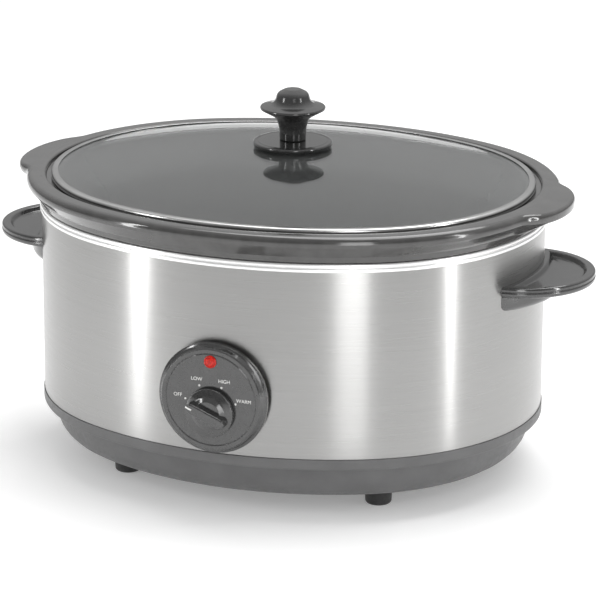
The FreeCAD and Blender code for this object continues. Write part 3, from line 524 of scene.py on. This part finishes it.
def panel_marks():
    """Short words for the four settings on the panel, and a dot for each beside the knob."""
    axis_height = (DIAL[0].z + DIAL[1].z) / 2
    face = PANEL[0].y
    size = 3.5
    marks = (("OFF", -67.5, 25.5), ("LOW", -24, 24.5), ("HIGH", 24, 24.5), ("WARM", 67.5, 26))
    for word, angle, reach in marks:
        turn = math.radians(angle)
        text = bpy.data.curves.new("mark_" + word.lower(), "FONT")
        text.body = word
        text.size = size * MM
        text.align_x = "CENTER"
        text.align_y = "CENTER"
        text.extrude = 0.04 * MM
        spot = Vector((math.sin(turn) * reach * MM, face - 0.03 * MM,
                       axis_height + math.cos(turn) * reach * MM))
        source = bpy.data.objects.new("text_" + word.lower(), text)
        bpy.context.scene.collection.objects.link(source)
        bpy.context.view_layer.update()
        flat = bpy.data.meshes.new_from_object(source)
        points = [spot + Vector((v.co.x, -v.co.z, v.co.y)) for v in flat.vertices]
        faces = [tuple(polygon.vertices) for polygon in flat.polygons]
        bpy.data.objects.remove(source)
        dot = Vector((math.sin(turn) * 19.6 * MM, 0, axis_height + math.cos(turn) * 19.6 * MM))
        disc = lathe([(0.75 * MM, -face - 0.02 * MM), (0.75 * MM, -face + 0.07 * MM)], dot, FRONT)
        add_piece("mark_" + word.lower(), joined((points, faces), disc), PRINT, "control_panel")


def cord_gland():
    """The flanged bush that the cord would pass through, with ribs on its collar."""
    centre = Vector((0, 0, (GLAND[0].z + GLAND[1].z) / 2))
    wall = SHELL[1].y
    corners = [
        (3.8 * MM, wall - 8 * MM), (6 * MM, wall - 8 * MM), (6 * MM, wall), (9.5 * MM, wall),
        (9.5 * MM, wall + 3 * MM, 1 * MM), (7 * MM, wall + 4 * MM, 1.2 * MM),
    ]
    for rib in range(5):
        start = wall + (5.2 + 2.9 * rib) * MM
        reach = (6.7 - 0.25 * rib) * MM
        corners += [(reach, start, 0.2 * MM), (reach - 0.7 * MM, start + 0.3 * MM, 0.2 * MM),
                    (reach - 0.7 * MM, start + 1.2 * MM, 0.2 * MM), (reach, start + 1.5 * MM, 0.2 * MM)]
    corners += [(5.2 * MM, GLAND[1].y, 0.7 * MM), (3.8 * MM, GLAND[1].y, 0.4 * MM)]
    bush = lathe(rounded(corners), centre, REAR, tube=True)
    replace("gland_bush", bush, LOOKS["dark_plastic"], "cord_gland")


def feet():
    for name in ("foot_front_left", "foot_front_right", "foot_rear_left", "foot_rear_right"):
        low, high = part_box(name)
        centre = Vector(((low.x + high.x) / 2, (low.y + high.y) / 2, 0))
        reach = (high.x - low.x) / 2
        profile = rounded([
            (3.4 * MM, 0, 0.3 * MM), (reach - 0.5 * MM, 0, 2.4 * MM),
            (reach, high.z - 2.4 * MM, 0.4 * MM), (reach - 0.7 * MM, high.z - 1.8 * MM, 0.3 * MM),
            (reach - 0.7 * MM, high.z), (1.6 * MM, high.z), (1.6 * MM, 7 * MM), (3.4 * MM, 7 * MM),
        ])
        replace(name + "_pad", lathe(profile, centre, tube=True), LOOKS["rubber"], name)


# Control

def control_knob():
    """A round skirt with a raised bar across it, and a line on the end of the bar that points."""
    centre = Vector((0, 0, (DIAL[0].z + DIAL[1].z) / 2))
    back = -DIAL[1].y
    top = -DIAL[0].y
    radius = 17.2 * MM
    skirt = rounded([
        (3 * MM, back + 5.2 * MM), (9 * MM, back + 5.2 * MM), (9 * MM, back), (radius, back, 0.3 * MM),
        (radius, back + 3.1 * MM, 1 * MM), (12 * MM, back + 4.4 * MM, 4 * MM),
        (9 * MM, back + 6.4 * MM, 1 * MM),
        (3 * MM, back + 6.6 * MM),
    ])
    point_angle = math.radians(67.5)
    along = Vector((-math.sin(point_angle), 0, math.cos(point_angle)))
    across = Vector((math.cos(point_angle), 0, math.sin(point_angle)))

    def bar_ring(inset, depth):
        ring = []
        half, side = 15 * MM - inset, 4.5 * MM - inset
        straight = half - side
        for step in range(48):
            angle = 2 * math.pi * (step + 0.5) / 48
            shift = math.copysign(straight, math.cos(angle))
            narrow = 1 - 0.12 * (depth - back) / (top - back)
            x = shift + side * math.cos(angle)
            y = side * math.sin(angle) * narrow
            ring.append(centre + along * x + across * y + FRONT * depth)
        return ring

    edge = rounded([
        (0, back + 2.6 * MM), (0.4 * MM, top, 1.3 * MM), (4.2 * MM, top - 0.25 * MM),
    ], closed=False)
    bar = loft([bar_ring(inset, depth) for inset, depth in edge])
    shape = joined(lathe(skirt, centre, FRONT, tube=True), bar)
    replace("dial_knob", shape, LOOKS["black_plastic"], "control_knob")
    tip = centre + along * 12.4 * MM + FRONT * (top - 0.02 * MM)
    half_long, half_wide = 2.3 * MM, 0.55 * MM
    rings = []
    for depth in (-0.3 * MM, 0.03 * MM):
        rings.append([tip + along * (half_long * a) + across * (half_wide * b) + FRONT * depth
                      for a, b in ((-1, -1), (1, -1), (1, 1), (-1, 1))])
    add_piece("dial_line", loft(rings), PRINT, "control_knob")


# Pot

def lug_reach(angle):
    """How far the pot's rim stands out, and how far it would without the grips at the ends.

    The rim widens a little towards the ends. A grip has a bowed tip between slanted sides.
    """
    lean = abs(math.remainder(angle, math.pi))
    rim = (9.5 + 3 * math.cos(lean)) * MM
    if lean > LEAN:
        return rim, rim
    bow_centre = 76.7 * MM
    bow = POT[1].x - END_CENTRE - bow_centre
    rise = bow ** 2 - (bow_centre * math.sin(lean)) ** 2
    tip = bow_centre * math.cos(lean) + math.sqrt(rise) if rise > 0 else 0
    slant = math.radians(42.5)
    side = 141 * MM / math.cos(slant - lean)
    lug = blended(tip, side, -2 * MM) - END_RADIUS
    return blended(lug, rim, 2 * MM), rim


def blended(first, second, width):
    """The larger of two values, or the smaller for a negative width, eased where they are close."""
    pick = max(first, second) if width > 0 else min(first, second)
    overlap = max(abs(width) - abs(first - second), 0) / abs(width)
    return pick + overlap ** 2 * width / 4


def pot_profile(angle):
    reach, rim = lug_reach(angle)
    share = (reach - rim) / (POT[1].x - END_CENTRE - END_RADIUS - rim)
    share = min(1.0, max(0.0, share))
    share = share * share * (3 - 2 * share)
    floor, top = POT[0].z, POT[1].z
    rest, seat = 185.8 * MM, 202 * MM

    def between(base, lug):
        return base + (lug - base) * share

    return rounded([
        (-70 * MM, floor), (-24 * MM, floor, 24 * MM), (-22 * MM, 172 * MM, 14 * MM),
        (-10 * MM, rest, 4 * MM), (0.5 * MM, rest, between(1.4, 0.4) * MM),
        (2.1 * MM, between(190.5, 187.6) * MM, between(1, 0.8) * MM),
        (between(rim - 2.4 * MM, reach), between(198.5, 197.6) * MM, between(2, 1.6) * MM),
        (reach, between(205.7, 204.1) * MM, between(4.6, 2.8) * MM),
        (between(1.5, 3) * MM, top, between(0.5, 2) * MM),
        (-3 * MM, top, 1.5 * MM), (-3.2 * MM, seat, 1.2 * MM), (-15 * MM, seat, 4 * MM),
        (-30 * MM, 176 * MM, 18 * MM),
        (-32 * MM, floor + 8 * MM, 22 * MM), (-70 * MM, floor + 8 * MM),
    ], closed=False)


def stoneware_pot():
    replace("crock", sweep(pot_profile, tube=False), LOOKS["black_glaze"], "stoneware_pot")


# Lid

def lid_glass():
    """The domed glass: a narrow flat edge inside the band, and an even thickness all over."""
    offset = -7.9 * MM
    low, high = 202.95 * MM, 206.55 * MM
    rim_scale = 0.965
    steps = 22
    centre_scale = 0.012
    rise = GLASS[1].z - high
    upper, lower = [], []
    for step in range(steps + 1):
        scale = rim_scale + (centre_scale - rim_scale) * step / steps
        height = high + rise * (1 - (scale / rim_scale) ** 2)
        upper.append((scale, height))
        lower.append((scale * 0.99, height - 3.6 * MM))
    outline = [(0.999, low + 0.3 * MM), (1.0, low + 0.8 * MM), (1.0, high - 0.8 * MM), (0.998, high)] + upper
    outline = lower[::-1] + [(0.985, low)] + outline
    rings = []
    for scale, height in outline:
        ring = []
        for step in range(OVAL_STEPS):
            ring.append(oval_point(2 * math.pi * step / OVAL_STEPS, offset, height, scale))
        rings.append(ring)
    replace("glass_dome", loft(rings), LOOKS["clear_glass"], "lid_glass")


def lid_rim():
    """The steel band: a C folded round the edge of the glass, with a rounded outer face."""
    outer = -7.2 * MM
    inner = outer - 4.8 * MM
    low, high = BAND[0].z, BAND[1].z
    sheet = 0.6 * MM
    profile = rounded([
        (inner, low, 0.2 * MM), (outer, low, 1.6 * MM), (outer, high, 1.9 * MM), (inner, high, 0.25 * MM),
        (inner, high - sheet, 0.2 * MM), (outer - sheet, high - sheet, 1.2 * MM),
        (outer - sheet, low + sheet, 1.2 * MM), (inner, low + sheet, 0.2 * MM),
    ])
    replace("band_fold", sweep(profile), BAND_LOOK, "lid_rim")


def knob_skirt():
    centre = Vector((0, 0, 0))
    seat, top = SKIRT[0].z, SKIRT[1].z
    radius = SKIRT[1].x
    profile = rounded([
        (2.6 * MM, seat), (radius - 0.6 * MM, seat, 0.6 * MM), (radius, top - 1 * MM, 1.3 * MM),
        (radius - 2.6 * MM, top - 0.45 * MM, 0.5 * MM), (radius - 3.2 * MM, top - 0.9 * MM, 0.4 * MM),
        (radius - 4 * MM, top - 0.45 * MM, 0.5 * MM), (9 * MM, top, 1.5 * MM), (2.6 * MM, top),
    ])
    replace("skirt_disc", lathe(profile, centre, tube=True), LOOKS["black_plastic"], "knob_skirt")


def lid_knob():
    """A stem that spreads to a thin round brim, with a bell-shaped crown that flows out of it."""
    centre = Vector((0, 0, 0))
    low, top = CAP[0].z, CAP[1].z
    brim = CAP[1].x
    profile = rounded([
        (2.5 * MM, low), (9.3 * MM, low, 0.5 * MM), (9.5 * MM, low + 8 * MM, 12 * MM),
        (11.4 * MM, top - 21.5 * MM, 3 * MM), (14 * MM, top - 19.3 * MM, 4 * MM),
        (brim - 0.6 * MM, top - 14.3 * MM, 0.9 * MM),
        (brim - 0.2 * MM, top - 12.6 * MM, 1.1 * MM), (13.2 * MM, top - 10.6 * MM, 6 * MM),
        (10.9 * MM, top - 2.8 * MM, 5 * MM), (5.5 * MM, top - 0.1 * MM, 4.5 * MM), (0.3 * MM, top),
    ], closed=False)
    replace("knob_cap", lathe(profile, centre), LOOKS["black_plastic"], "lid_knob")


# Studio

def aim(item, place, target):
    item.location = place
    item.rotation_euler = (Vector(target) - Vector(place)).to_track_quat("-Z", "Y").to_euler()


def camera():
    """A long lens from the front right, a little above the rim."""
    target = Vector((0, 0, CAMERA_TARGET_HEIGHT))
    azimuth, elevation = math.radians(CAMERA_AZIMUTH), math.radians(CAMERA_ELEVATION)
    level = CAMERA_DISTANCE * math.cos(elevation)
    rise = CAMERA_DISTANCE * math.sin(elevation)
    place = target + Vector((level * math.sin(azimuth), -level * math.cos(azimuth), rise))
    data = bpy.data.cameras.new("camera")
    data.lens = LENS_MM
    data.sensor_width = SENSOR_MM
    data.shift_x, data.shift_y = CAMERA_SHIFT
    item = bpy.data.objects.new("camera", data)
    bpy.context.scene.collection.objects.link(item)
    aim(item, place, target)
    item.rotation_euler.rotate_axis("Z", math.radians(CAMERA_ROLL))
    bpy.context.scene.camera = item


def softbox(name, azimuth, distance, height, width, tall, radiance, target, sparing=()):
    """A rectangular light at an azimuth from the front towards +X. It doesn't light the pieces it spares."""
    data = bpy.data.lights.new(name, "AREA")
    data.shape = "RECTANGLE"
    data.size = width
    data.size_y = tall
    data.energy = radiance * math.pi * width * tall
    item = bpy.data.objects.new(name, data)
    bpy.context.scene.collection.objects.link(item)
    item.visible_camera = False
    if sparing:
        spared = bpy.data.collections.new("spared_by_" + name)
        for piece in sparing:
            spared.objects.link(piece)
        item.light_linking.receiver_collection = spared
        for entry in spared.collection_objects:
            entry.light_linking.link_state = "EXCLUDE"
    turn = math.radians(azimuth)
    aim(item, (distance * math.sin(turn), -distance * math.cos(turn), height), target)


def studio():
    world = bpy.data.worlds.new("studio")
    world.use_nodes = True
    nodes = world.node_tree.nodes
    links = world.node_tree.links
    background = nodes["Background"]
    coords = nodes.new("ShaderNodeTexCoord")
    split = nodes.new("ShaderNodeSeparateXYZ")
    links.new(coords.outputs["Generated"], split.inputs[0])
    product = nodes.new("ShaderNodeMath")
    product.operation = "MULTIPLY"
    ramps = (("Y", -0.6, 0.5, 0.4, 1.0), ("Z", -0.15, 0.9, 0.15, 1.1))
    for number, (way, start, stop, low, high) in enumerate(ramps):
        ramp = nodes.new("ShaderNodeMapRange")
        links.new(split.outputs[way], ramp.inputs["Value"])
        for socket, value in (("From Min", start), ("From Max", stop), ("To Min", low), ("To Max", high)):
            ramp.inputs[socket].default_value = value
        links.new(ramp.outputs[0], product.inputs[number])
    links.new(product.outputs[0], background.inputs["Strength"])
    background.inputs["Color"].default_value = (1, 1, 1, 1)
    bpy.context.scene.world = world
    bpy.context.scene.view_settings.view_transform = "Standard"

    floor_half = 15.0
    mesh = bpy.data.meshes.new("floor")
    corners = [(-floor_half, -floor_half, 0), (floor_half, -floor_half, 0), (floor_half, floor_half, 0),
               (-floor_half, floor_half, 0)]
    mesh.from_pydata(corners, [], [(0, 1, 2, 3)])
    look = Look("floor_paper", (0.9, 0.9, 0.9), 0.8, emission_color=(1, 1, 1, 1), emission_strength=0.22)
    look.tint(look.noise(30, 3), 0.99, 1.01)
    mesh.materials.append(look.material)
    floor = bpy.data.objects.new("floor", mesh)
    bpy.context.scene.collection.objects.link(floor)

    glass = [bpy.data.objects["glass_dome"]]
    lid = glass + [bpy.data.objects["knob_cap"], bpy.data.objects["skirt_disc"]]
    softbox("overhead", 160, 0.5, 1.9, 1.6, 1.6, 3.4, (0, 0.2, 0), lid)
    middle = (0, 0, 0.28)
    softbox("strip_left", -45, 0.75, 0.28, 0.06, 0.6, 12, middle, glass)
    softbox("strip_camera", 29, 0.8, 0.28, 0.15, 0.6, 4, middle, glass)
    softbox("strip_right", 76, 0.75, 0.28, 0.04, 0.6, 14, middle, glass)


outer_shell()
heating_liner()
base_tray()
handle("handle_right", 1)
handle("handle_left", -1)
control_panel()
indicator_lens()
panel_marks()
cord_gland()
feet()
control_knob()
stoneware_pot()
lid_glass()
lid_rim()
knob_skirt()
lid_knob()
camera()
studio()

bpy.context.view_layer.update()
